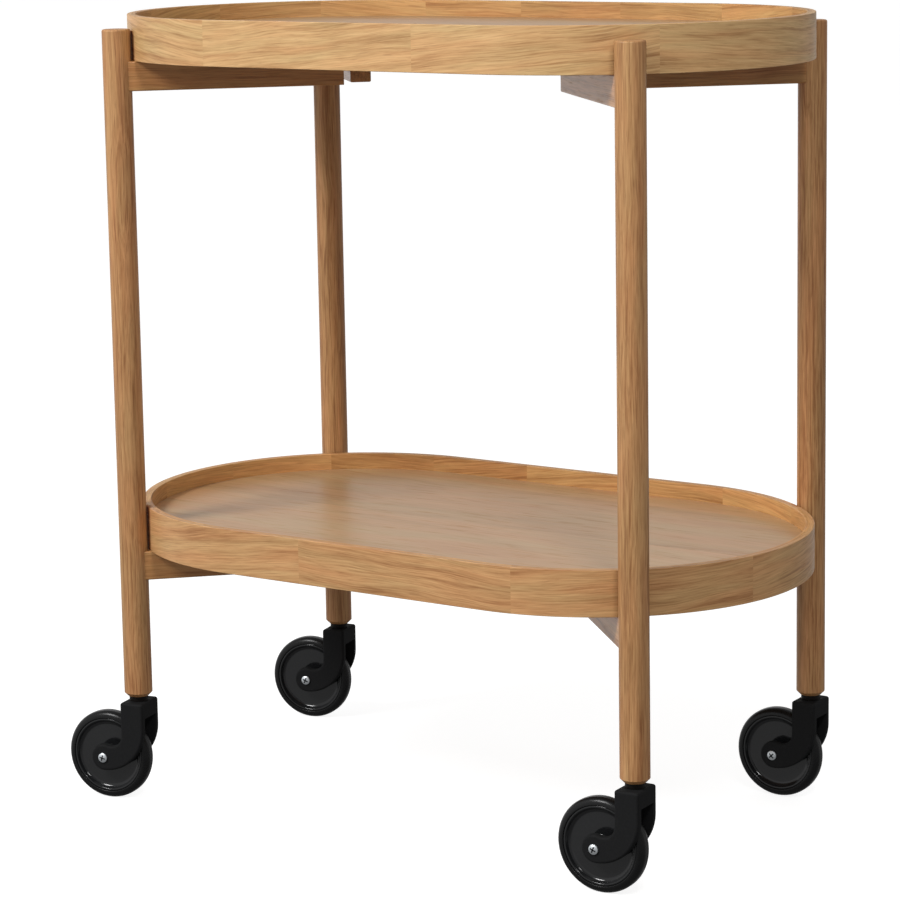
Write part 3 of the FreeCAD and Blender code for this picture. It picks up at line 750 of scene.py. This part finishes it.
def run_tree(name, recipe, start_mesh=None, **values):
    """Run a tree once and keep its result as a plain mesh object."""
    holder = bpy.data.objects.new(name, start_mesh or bpy.data.meshes.new(name))
    scene.collection.objects.link(holder)
    modifier = holder.modifiers.new(recipe.tree.name, "NODES")
    modifier.node_group = recipe.tree
    for label, value in values.items():
        modifier[recipe.sockets[label]] = value
    bake(holder)
    holder.data.name = name
    return holder


# %% The rim's tree
FILLET_STEPS = 5


def make_rim_tree():
    tree = Tree("Bent rim", Half_Straight="Float", End_Radius="Float", Wall="Float", Height="Float",
                Edge_Round="Float", Steps="Int", Shift="Vector", Material="Material")
    half_wall = tree.math("MULTIPLY", tree.given("Wall"), 0.5)
    path_radius = tree.math("SUBTRACT", tree.given("End_Radius"), half_wall)
    circle_sizes = {"Resolution": tree.given("Steps"), "Radius": path_radius}
    circle = tree.add("GeometryNodeCurvePrimitiveCircle", circle_sizes).outputs[0]
    x = tree.split(tree.add("GeometryNodeInputPosition").outputs[0])["X"]
    push = tree.math("MULTIPLY", tree.math("SIGN", x), tree.given("Half_Straight"))
    oval = tree.add("GeometryNodeSetPosition", {"Geometry": circle, "Offset": tree.join(x=push)}).outputs[0]
    upright = tree.add("GeometryNodeSetCurveNormal", {"Curve": oval}, mode="Z_UP").outputs[0]
    section_sizes = {"Width": tree.given("Wall"), "Height": tree.given("Height")}
    section = tree.add("GeometryNodeCurvePrimitiveQuadrilateral", section_sizes).outputs[0]
    fillet_sizes = {"Curve": section, "Radius": tree.given("Edge_Round"), "Limit Radius": True,
                    "Count": FILLET_STEPS}
    fillet = tree.add("GeometryNodeFilletCurve", fillet_sizes, mode="POLY").outputs[0]
    sweep = {"Curve": upright, "Profile Curve": fillet}
    band = tree.add("GeometryNodeCurveToMesh", sweep).outputs[0]
    tree.close(tree.moved(band, tree.given("Shift")))
    return tree


rim_tree = make_rim_tree()
print("the rim's tree has the inputs", list(rim_tree.sockets))

# %% Make both rims
GLUE_LINE = 0.1 * MM
RIM_ROUND = 0.7 * MM
RIM_STEPS = 256
for level in LEVELS:
    low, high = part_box(f"{level}_tray_rim")
    shift = Vector((tray_middle, 0, (low.z + high.z) / 2))
    rim = run_tree(f"{level}_bent_rim", rim_tree, Half_Straight=half_straight, End_Radius=end_radius,
                   Wall=rim_wall - GLUE_LINE, Height=rim_height, Edge_Round=RIM_ROUND, Steps=RIM_STEPS,
                   Shift=shift, Material=rim_oaks[level])
    volume = face_outwards(rim.data)
    settle(rim)
    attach(rim, FRAME_BODY)
    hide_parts(f"{level}_tray_rim")
    print(f"{rim.name}: {len(rim.data.polygons)} faces, {volume:.0f} cm3, {rim.dimensions.x:.4f} m long")

# %% [markdown]
# ## Black plastic and steel
# The forks come satin from their mould, the discs and tyres polished. Black has almost no colour of its
# own to show, so its look is all in the gloss: a mould's polish is never quite even, so a faint ripple
# bends each highlight, and fine dust dulls it in places. The screws are zinc plated, bright and a little
# blue.


# %% Make the plastics and the zinc
DUST_FINENESS = 6
DUST_PATCHES = ((0.45, 0.0), (0.75, 1.0))
DUST_COVER = 0.3
DUST_DULLNESS = 0.10
CLOUD_DULLNESS = 0.20
CLOUD_SHADE = 0.8
# painted shade: how dark the zinc is made inside a screw's cross recess
RECESS_PAINTED_SHADE = 0.08


def moulded(name, colour, roughness, ripple, specular=0.45):
    """Plastic or lacquer with a faint ripple, given by its size and height, and a little dust."""
    shader = Shader(name)
    place = shader.object_place()
    size, height = ripple
    waves = shader.noise(shader.scaled(place, 1 / size), detail=3.0)
    fine = shader.noise(shader.scaled(place, DUST_FINENESS / size), detail=4.0, roughness=0.7)
    dust = shader.ramp(fine, *DUST_PATCHES)
    shader.bump(waves, height, strength=0.5)
    gloss = shader.math("MULTIPLY_ADD", dust, DUST_DULLNESS, roughness)
    dusty = tuple(2 * c for c in colour)
    shade = shader.mix(shader.math("MULTIPLY", dust, DUST_COVER), colour, dusty)
    return shader.finish(Base_Color=shade, Roughness=gloss, Specular_IOR_Level=specular)


def plated(name, colour, roughness, grain_size):
    """Zinc plating, cloudy, with painted shade on the faces marked as part of a recess."""
    shader = Shader(name)
    cloud = shader.noise(shader.scaled(shader.object_place(), 1 / grain_size), detail=3.0)
    gloss = shader.math("MULTIPLY_ADD", cloud, CLOUD_DULLNESS, roughness)
    shade = shader.mix(cloud, tuple(CLOUD_SHADE * c for c in colour), colour)
    # painted shade: faces marked as part of a recess are darkened
    recess = shader.add("ShaderNodeAttribute", attribute_name="recess").outputs["Fac"]
    shade = shader.mix(recess, shade, tuple(RECESS_PAINTED_SHADE * c for c in colour))
    return shader.finish(Base_Color=shade, Roughness=gloss, Metallic=1.0)


# %% Paint the casters' solids and the hidden fixings
fork_black = moulded("plastic_fork", (0.0148, 0.0149, 0.0153), roughness=0.5,
                     ripple=(9 * MM, 0.03 * MM), specular=0.02)
hub_black = moulded("plastic_hub", (0.0090, 0.0093, 0.0100), roughness=0.11, ripple=(16 * MM, 0.025 * MM))
tyre_black = moulded("tyre_plastic", (0.0060, 0.0061, 0.0064), roughness=0.26,
                     ripple=(12 * MM, 0.012 * MM), specular=0.25)
stem_black = moulded("stem_lacquer", (0.0040, 0.0028, 0.0022), roughness=0.45,
                     ripple=(4 * MM, 0.02 * MM), specular=0.15)
bush_white = moulded("bush_nylon", (0.62, 0.60, 0.54), roughness=0.45, ripple=(4 * MM, 0.02 * MM))
zinc = plated("zinc_plate", (0.80, 0.84, 0.87), roughness=0.36, grain_size=1.1 * MM)
beech = straight_oak("beech_dowels", Vector(), turn=0.0, upright=False, seed=4, colour=(0.66, 0.44, 0.26),
                     contrast=0.5)
for level in LEVELS:
    paint(f"{level}_rail_dowels", beech)
paint("leg_inserts", zinc)
for corner in CORNERS:
    paint(f"{corner}_fork", fork_black)
    paint(f"{corner}_caster_stem", stem_black)
    paint(f"{corner}_swivel_bush", bush_white)
    paint(f"{corner}_axle_sleeve", zinc)
print(len(bpy.data.materials), "materials so far")

# %% [markdown]
# ## The wheels
# A wheel is a moulded disc with a tyre pressed on its lip. The disc has a boss on the axle, a thin flat
# web, and a bevel that climbs to the lip. Three edges draw the bright arcs that a glossy black wheel
# shows: the foot of the bevel, the lip, and the tyre's inner edge, so these three get their true rounds.
# The outlines are in millimetres until they go on the lathe.

# %% Outline the disc and the tyre
BEVEL_FOOT_ROUND = 4.0
LIP_ROUND = 0.9
TYRE_EDGE_ROUND = 0.6
BOSS_EDGE_ROUND = 0.5
BOSS_FOOT_ROUND = 1.0
TREAD_ARC_STEPS = 10


def mirrored(corners):
    """Complete a half outline with its mirror image about the wheel's middle plane."""
    other_half = [(radius, -along, rounding) for radius, along, rounding in reversed(corners)]
    return corners + other_half


def hub_outline():
    upper = [pair for pair in hub_pairs if pair[1] > 0]
    bore, boss_foot, boss_top, bevel_foot, *on_bevel, lip_in, lip_out = upper
    half = [
        (*bore, 0),
        (*boss_top, BOSS_EDGE_ROUND),
        (*boss_foot, BOSS_FOOT_ROUND),
        (*bevel_foot, BEVEL_FOOT_ROUND),
        (*lip_in, LIP_ROUND),
        (*lip_out, LIP_ROUND),
    ]
    return [point * MM for point in rounded(mirrored(half), closed=True)]


def tyre_outline():
    inner = min(radius for radius, along in tyre_pairs)
    outer = max(radius for radius, along in tyre_pairs)
    half_width = max(along for radius, along in tyre_pairs)
    shoulder = max(radius for radius, along in tyre_pairs if along == half_width)
    half = [(inner, half_width, TYRE_EDGE_ROUND), (outer, half_width, outer - shoulder)]
    return [point * MM for point in rounded(mirrored(half), closed=True, steps=TREAD_ARC_STEPS)]


# %% Turn the wheels
WHEEL_STEPS = 128
disc_shape = hub_outline()
tyre_shape = tyre_outline()
for corner in CORNERS:
    place, axle = axle_of(corner)
    disc = lathe(f"{corner}_wheel_disc", disc_shape, place, axle, hub_black, WHEEL_STEPS)
    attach(disc, f"{corner}_wheel")
    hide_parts(f"{corner}_wheel_hub")
    tyre = lathe(f"{corner}_wheel_tyre", tyre_shape, place, axle, tyre_black, WHEEL_STEPS)
    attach(tyre, f"{corner}_wheel")
    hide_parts(f"{corner}_tyre")

# %% [markdown]
# ## Screws with Geometry Nodes
# The same domed screw turns up at every axle's end and under every tray. One tree makes it: a cylinder
# cut by a large ball gives the domed head, two crossed bars cut the driver's recess, and the shank goes
# on below. Copies stand on points, and each point says which way its head faces. A fixed seed turns
# every cross its own way, as a screwdriver would have left it.


# %% Shape a domed head
HEAD_SIDES = 48
BALL_RINGS = 96
CROWN_SHARE = 0.45


def domed_head(tree, radius, height):
    """A cylinder whose top is cut by a large ball."""
    cylinder_sizes = {"Vertices": HEAD_SIDES, "Radius": radius, "Depth": height}
    cylinder = tree.add("GeometryNodeMeshCylinder", cylinder_sizes).outputs[0]
    cylinder = tree.moved(cylinder, tree.join(z=tree.math("MULTIPLY", height, 0.5)))
    crown = tree.math("MULTIPLY", height, CROWN_SHARE)
    squares = tree.math("MULTIPLY_ADD", crown, crown, tree.math("MULTIPLY", radius, radius))
    ball_radius = tree.math("DIVIDE", squares, tree.math("MULTIPLY", crown, 2.0))
    ball_sizes = {"Segments": HEAD_SIDES, "Rings": BALL_RINGS, "Radius": ball_radius}
    ball = tree.add("GeometryNodeMeshUVSphere", ball_sizes).outputs[0]
    ball = tree.moved(ball, tree.join(z=tree.math("SUBTRACT", height, ball_radius)))
    return tree.add("GeometryNodeMeshBoolean", {1: [cylinder, ball]}, operation="INTERSECT").outputs[0]


# %% Shape the driver's cross and give each screw its turn
def cross_bars(tree, height):
    """Two bars crossed over the head; their faces are marked, and the mark stays on the recess they cut."""
    reach = tree.given("Recess_Reach")
    width = tree.given("Recess_Width")
    depth = tree.math("MULTIPLY", tree.given("Recess_Depth"), 2.0)
    bars = []
    for x, y in ((reach, width), (width, reach)):
        bar = tree.add("GeometryNodeMeshCube", {"Size": tree.join(x, y, depth)}).outputs[0]
        # the mark tells the zinc where to paint shade inside the recess
        marked = {"Geometry": bar, "Name": "recess", "Value": 1.0}
        bar = tree.add("GeometryNodeStoreNamedAttribute", marked, domain="FACE").outputs[0]
        bars.append(tree.moved(bar, tree.join(z=height)))
    return bars


# The random node has sockets for each kind of number; these are the places of the plain one's.
FLOAT_MAX = 3
FLOAT_VALUE = 1


def facing_turn(tree):
    """The turn that makes a screw face its point's way, after a random turn about its own axis."""
    facing = tree.add("GeometryNodeInputNamedAttribute", {"Name": "facing"}, data_type="FLOAT_VECTOR")
    upright = tree.add("FunctionNodeAlignRotationToVector", {"Vector": facing.outputs[0]}, axis="Z")
    draw = {FLOAT_MAX: 2 * math.pi, "Seed": tree.given("Seed")}
    drawn = tree.add("FunctionNodeRandomValue", draw, data_type="FLOAT").outputs[FLOAT_VALUE]
    own_turn = tree.add("FunctionNodeEulerToRotation", {0: tree.join(z=drawn)}).outputs[0]
    turns = {"Rotation": upright.outputs[0], "Rotate By": own_turn}
    return tree.add("FunctionNodeRotateRotation", turns, rotation_space="LOCAL").outputs[0]


# %% The screw tree
SHANK_SIDES = 24
SHANK_OVERLAP = 0.2


def make_screw_tree():
    tree = Tree("Domed screws", Head_Radius="Float", Head_Height="Float", Shank_Radius="Float",
                Shank_Length="Float", Recess_Width="Float", Recess_Reach="Float", Recess_Depth="Float",
                Seed="Int", Material="Material")
    height = tree.given("Head_Height")
    head = domed_head(tree, tree.given("Head_Radius"), height)
    length = tree.given("Shank_Length")
    shank_sizes = {"Vertices": SHANK_SIDES, "Radius": tree.given("Shank_Radius"), "Depth": length}
    shank = tree.add("GeometryNodeMeshCylinder", shank_sizes).outputs[0]
    overlap = tree.math("MULTIPLY", height, SHANK_OVERLAP)
    shank = tree.moved(shank, tree.join(z=tree.math("MULTIPLY_ADD", length, -0.5, overlap)))
    screw = tree.add("GeometryNodeMeshBoolean", {1: [head, shank]}, operation="UNION").outputs[0]
    cut = {0: screw, 1: cross_bars(tree, height)}
    screw = tree.add("GeometryNodeMeshBoolean", cut, operation="DIFFERENCE").outputs[0]
    copies = {"Points": tree.given("Geometry"), "Instance": screw, "Rotation": facing_turn(tree)}
    tree.close(tree.add("GeometryNodeInstanceOnPoints", copies).outputs[0])
    return tree


screw_tree = make_screw_tree()
print("the screw's tree has the inputs", list(screw_tree.sockets))


# %% Measure a screw
HEAD_EDGE_SHARE = 0.9
BELOW_SEAT = 1


def screw_sizes(points, axis):
    """Where a screw's head sits, and its sizes, from its points and the way its head faces."""
    middle = sum(points, Vector()) / len(points)
    pairs = turned_points(points, middle, axis)
    head_radius = max(radius for radius, along in pairs)
    crown = max(along for radius, along in pairs)
    seat = min(along for radius, along in pairs if radius > HEAD_EDGE_SHARE * head_radius)
    tip = min(along for radius, along in pairs)
    shank_radius = max(radius for radius, along in pairs if along < seat - BELOW_SEAT)
    sizes = {"Head_Radius": head_radius * MM, "Head_Height": (crown - seat) * MM,
             "Shank_Radius": shank_radius * MM, "Shank_Length": (seat - tip) * MM}
    return middle + axis * seat * MM, sizes


# %% Put new screws in their place
RECESS_WIDTH = 0.30
RECESS_REACH = 1.30
RECESS_DEPTH = 0.8


def drive_screws(name, node, groups, facings, seed, body):
    """Replace a node of screws; each group of points is one screw."""
    seats = []
    for points, axis in zip(groups, facings):
        seat, sizes = screw_sizes(points, axis)
        seats.append(seat)
    start = bpy.data.meshes.new(f"{name}_seats")
    start.from_pydata(seats, [], [])
    facing = start.attributes.new("facing", "FLOAT_VECTOR", "POINT")
    for entry, axis in zip(facing.data, facings):
        entry.vector = axis
    radius = sizes["Head_Radius"]
    depth = RECESS_DEPTH * sizes["Head_Height"]
    screws = run_tree(name, screw_tree, start, Seed=seed, Material=zinc, Recess_Width=RECESS_WIDTH * radius,
                      Recess_Reach=RECESS_REACH * radius, Recess_Depth=depth, **sizes)
    volume = face_outwards(screws.data)
    screws.data.shade_flat()
    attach(screws, body)
    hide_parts(node)
    print(f"{name}: {len(seats)} screws, {len(screws.data.polygons)} faces, {volume:.2f} cm3")


# %% The screws at the axles' ends
for seed, corner in enumerate(CORNERS, 1):
    place, axle = axle_of(corner)
    points = points_of(f"{corner}_axle_screws")
    sides = [[point for point in points if (point - place).dot(axle) * side > 0] for side in (1, -1)]
    drive_screws(f"{corner}_cross_screws", f"{corner}_axle_screws", sides, [axle, -axle], seed,
                 f"{corner}_caster")

# %% The screws under the trays
SCREW_REACH = 12 * MM


def by_place(points):
    """Sort the points of several upright screws into one list for each screw."""
    groups = []
    for point in points:
        for group in groups:
            if (point - group[0]).xy.length < SCREW_REACH:
                group.append(point)
                break
        else:
            groups.append([point])
    return groups


for seed, level in enumerate(LEVELS, 11):
    groups = by_place(points_of(f"{level}_tray_screws"))
    drive_screws(f"{level}_sunk_screws", f"{level}_tray_screws", groups, [-Z_AXIS] * len(groups), seed,
                 FRAME_BODY)

# %% [markdown]
# ## Floor, light and camera
# The floor is a wide pale bowl, so that no edge shows behind the trolley. Only the camera sees it, so the
# undersides stay dark. The key light is soft and comes from the front left, and a small one at the front
# right wakes the black wheels. The sky is bright on the left and dim on the right and overhead, which
# turns the round legs from light into shade. A white band low behind gives the rails' gloss its sheen.

# %% Lay the floor
FLOOR_FLAT = 8.0
FLOOR_CURVE = 5.0
FLOOR_TOP = 9.0
FLOOR_STEPS = 96
FLOOR_ARC_STEPS = 16
FLOOR_GREY = 0.4
FLOOR_GLOW = 0.85
floor_rise = corner_arc(Vector((0, 0)), Vector((FLOOR_FLAT + FLOOR_CURVE, 0)),
                        Vector((FLOOR_FLAT + FLOOR_CURVE, FLOOR_TOP)), FLOOR_CURVE, FLOOR_ARC_STEPS)
floor_shape = [Vector((0, 0)), *floor_rise, Vector((FLOOR_FLAT + FLOOR_CURVE, FLOOR_TOP))]
floor_mesh = turned_mesh("floor", floor_shape, Vector(), Z_AXIS, FLOOR_STEPS, closed=False)
floor_mesh.shade_smooth()
floor = bpy.data.objects.new("floor", floor_mesh)
scene.collection.objects.link(floor)
floor.visible_diffuse = False
floor.visible_glossy = False
floor.visible_shadow = False
floor_paint = Shader("floor_paint")
floor_mesh.materials.append(floor_paint.finish(Base_Color=(FLOOR_GREY,) * 3, Roughness=0.9,
                                               Emission_Color=(1, 1, 1), Emission_Strength=FLOOR_GLOW))
print("floor laid,", len(floor_mesh.polygons), "faces")


# %% Set the lights
def area_light(name, place, aim, size, power):
    light = bpy.data.lights.new(name, "AREA")
    light.size = size
    light.energy = power
    holder = bpy.data.objects.new(name, light)
    holder.location = place
    holder.rotation_euler = (Vector(aim) - Vector(place)).to_track_quat("-Z", "Y").to_euler()
    scene.collection.objects.link(holder)


area_light("key", place=(-1.06, -2.29, 2.42), aim=(0, 0, 0.42), size=0.9, power=67)
area_light("front_right", place=(1.25, -1.20, 1.75), aim=(0, 0, 0.3), size=0.4, power=13)
print("two lights hung")

# %% [markdown]
# The sky is a strength for each direction. It is built from slopes: each follows one part of the
# direction, X, Y or Z, and climbs or falls between two of its values. The slopes of one list are
# multiplied, the two lists are added, and a little light is left everywhere.

# %% Start the sky
world = bpy.data.worlds.new("studio")
world.use_nodes = True
sky = Graph(world.node_tree)
direction = sky.split(sky.add("ShaderNodeTexCoord").outputs["Generated"])


def sky_slope(part, span, low, high):
    """A strength that goes from low to high as one part of the direction crosses the span."""
    slope = sky.add("ShaderNodeMapRange")
    for socket, value in zip(slope.inputs, (direction[part], *span, low, high)):
        sky.feed(socket, value)
    return slope.outputs[0]


def product(slopes):
    result = 1.0
    for slope in slopes:
        result = sky.math("MULTIPLY", slope, result)
    return result


# %% Paint the sky
SKY_LEFT = 0.57
SKY_LEAST = 0.19
RIGHT_SHARE = 0.3
CEILING_SHARE = 0.3
FAR_FLOOR = 0.65
LEFT_TO_RIGHT = (-0.4, 0.4)
WALL_TO_CEILING = (0.35, 0.80)
FLOOR_TO_WALL = (-0.45, -0.15)
SIDES_TO_BACK = (0.2, 0.5)
LEFT_TO_MIDDLE = (-0.6, 0.0)
HORIZON = (-0.10, 0.10)
NEAR_TO_FAR = (-0.50, -0.30)
walls = [
    sky_slope("X", LEFT_TO_RIGHT, SKY_LEFT, SKY_LEFT * RIGHT_SHARE),
    sky_slope("Z", WALL_TO_CEILING, 1.0, CEILING_SHARE),
    sky_slope("Z", FLOOR_TO_WALL, 0.0, 1.0),
]
far_floor = [
    sky_slope("Y", SIDES_TO_BACK, 0.0, FAR_FLOOR),
    sky_slope("X", LEFT_TO_MIDDLE, 1.0, 0.0),
    sky_slope("Z", HORIZON, 1.0, 0.0),
    sky_slope("Z", NEAR_TO_FAR, 0.0, 1.0),
]
glow = sky.math("ADD", product(walls), product(far_floor))
background = sky.tree.nodes["Background"].inputs
sky.feed(background["Strength"], sky.math("ADD", glow, SKY_LEAST))
background["Color"].default_value = (1, 1, 1, 1)
scene.world = world
scene.view_settings.view_transform = "Standard"
print("sky of", len(walls) + len(far_floor), "slopes")

# %% Point the camera as the photograph's
SENSOR = 36.0
PHOTO_WIDTH = 900
FOCAL_PIXELS = 3071.2
LENS_AXIS_ROW = 380
CAMERA_PLACE = Vector((1.5956, -2.3917, 0.8979))
CAMERA_YAW = math.radians(0.248)
CAMERA_PITCH = math.radians(9.590)
CAMERA_ROLL = math.radians(0.957)
FARTHEST_SEEN = 200
camera_data = bpy.data.cameras.new("camera")
camera_data.sensor_width = SENSOR
camera_data.lens = FOCAL_PIXELS * SENSOR / PHOTO_WIDTH
camera_data.shift_y = (LENS_AXIS_ROW - PHOTO_WIDTH / 2) / PHOTO_WIDTH
camera_data.clip_end = FARTHEST_SEEN
heading = math.atan2(-CAMERA_PLACE.y, -CAMERA_PLACE.x) + CAMERA_YAW
level_ahead = Vector((math.cos(heading), math.sin(heading), 0))
forward = level_ahead * math.cos(CAMERA_PITCH) - Z_AXIS * math.sin(CAMERA_PITCH)
right = Vector((math.sin(heading), -math.cos(heading), 0))
down = forward.cross(right)
rolled_right = right * math.cos(CAMERA_ROLL) + down * math.sin(CAMERA_ROLL)
rolled_down = down * math.cos(CAMERA_ROLL) - right * math.sin(CAMERA_ROLL)
camera = bpy.data.objects.new("camera", camera_data)
axes = Matrix((rolled_right, -rolled_down, -forward)).transposed()
camera.matrix_world = Matrix.Translation(CAMERA_PLACE) @ axes.to_4x4()
scene.collection.objects.link(camera)
scene.camera = camera
print(f"camera lens {camera_data.lens:.1f} mm, {CAMERA_PLACE.length:.2f} m away")
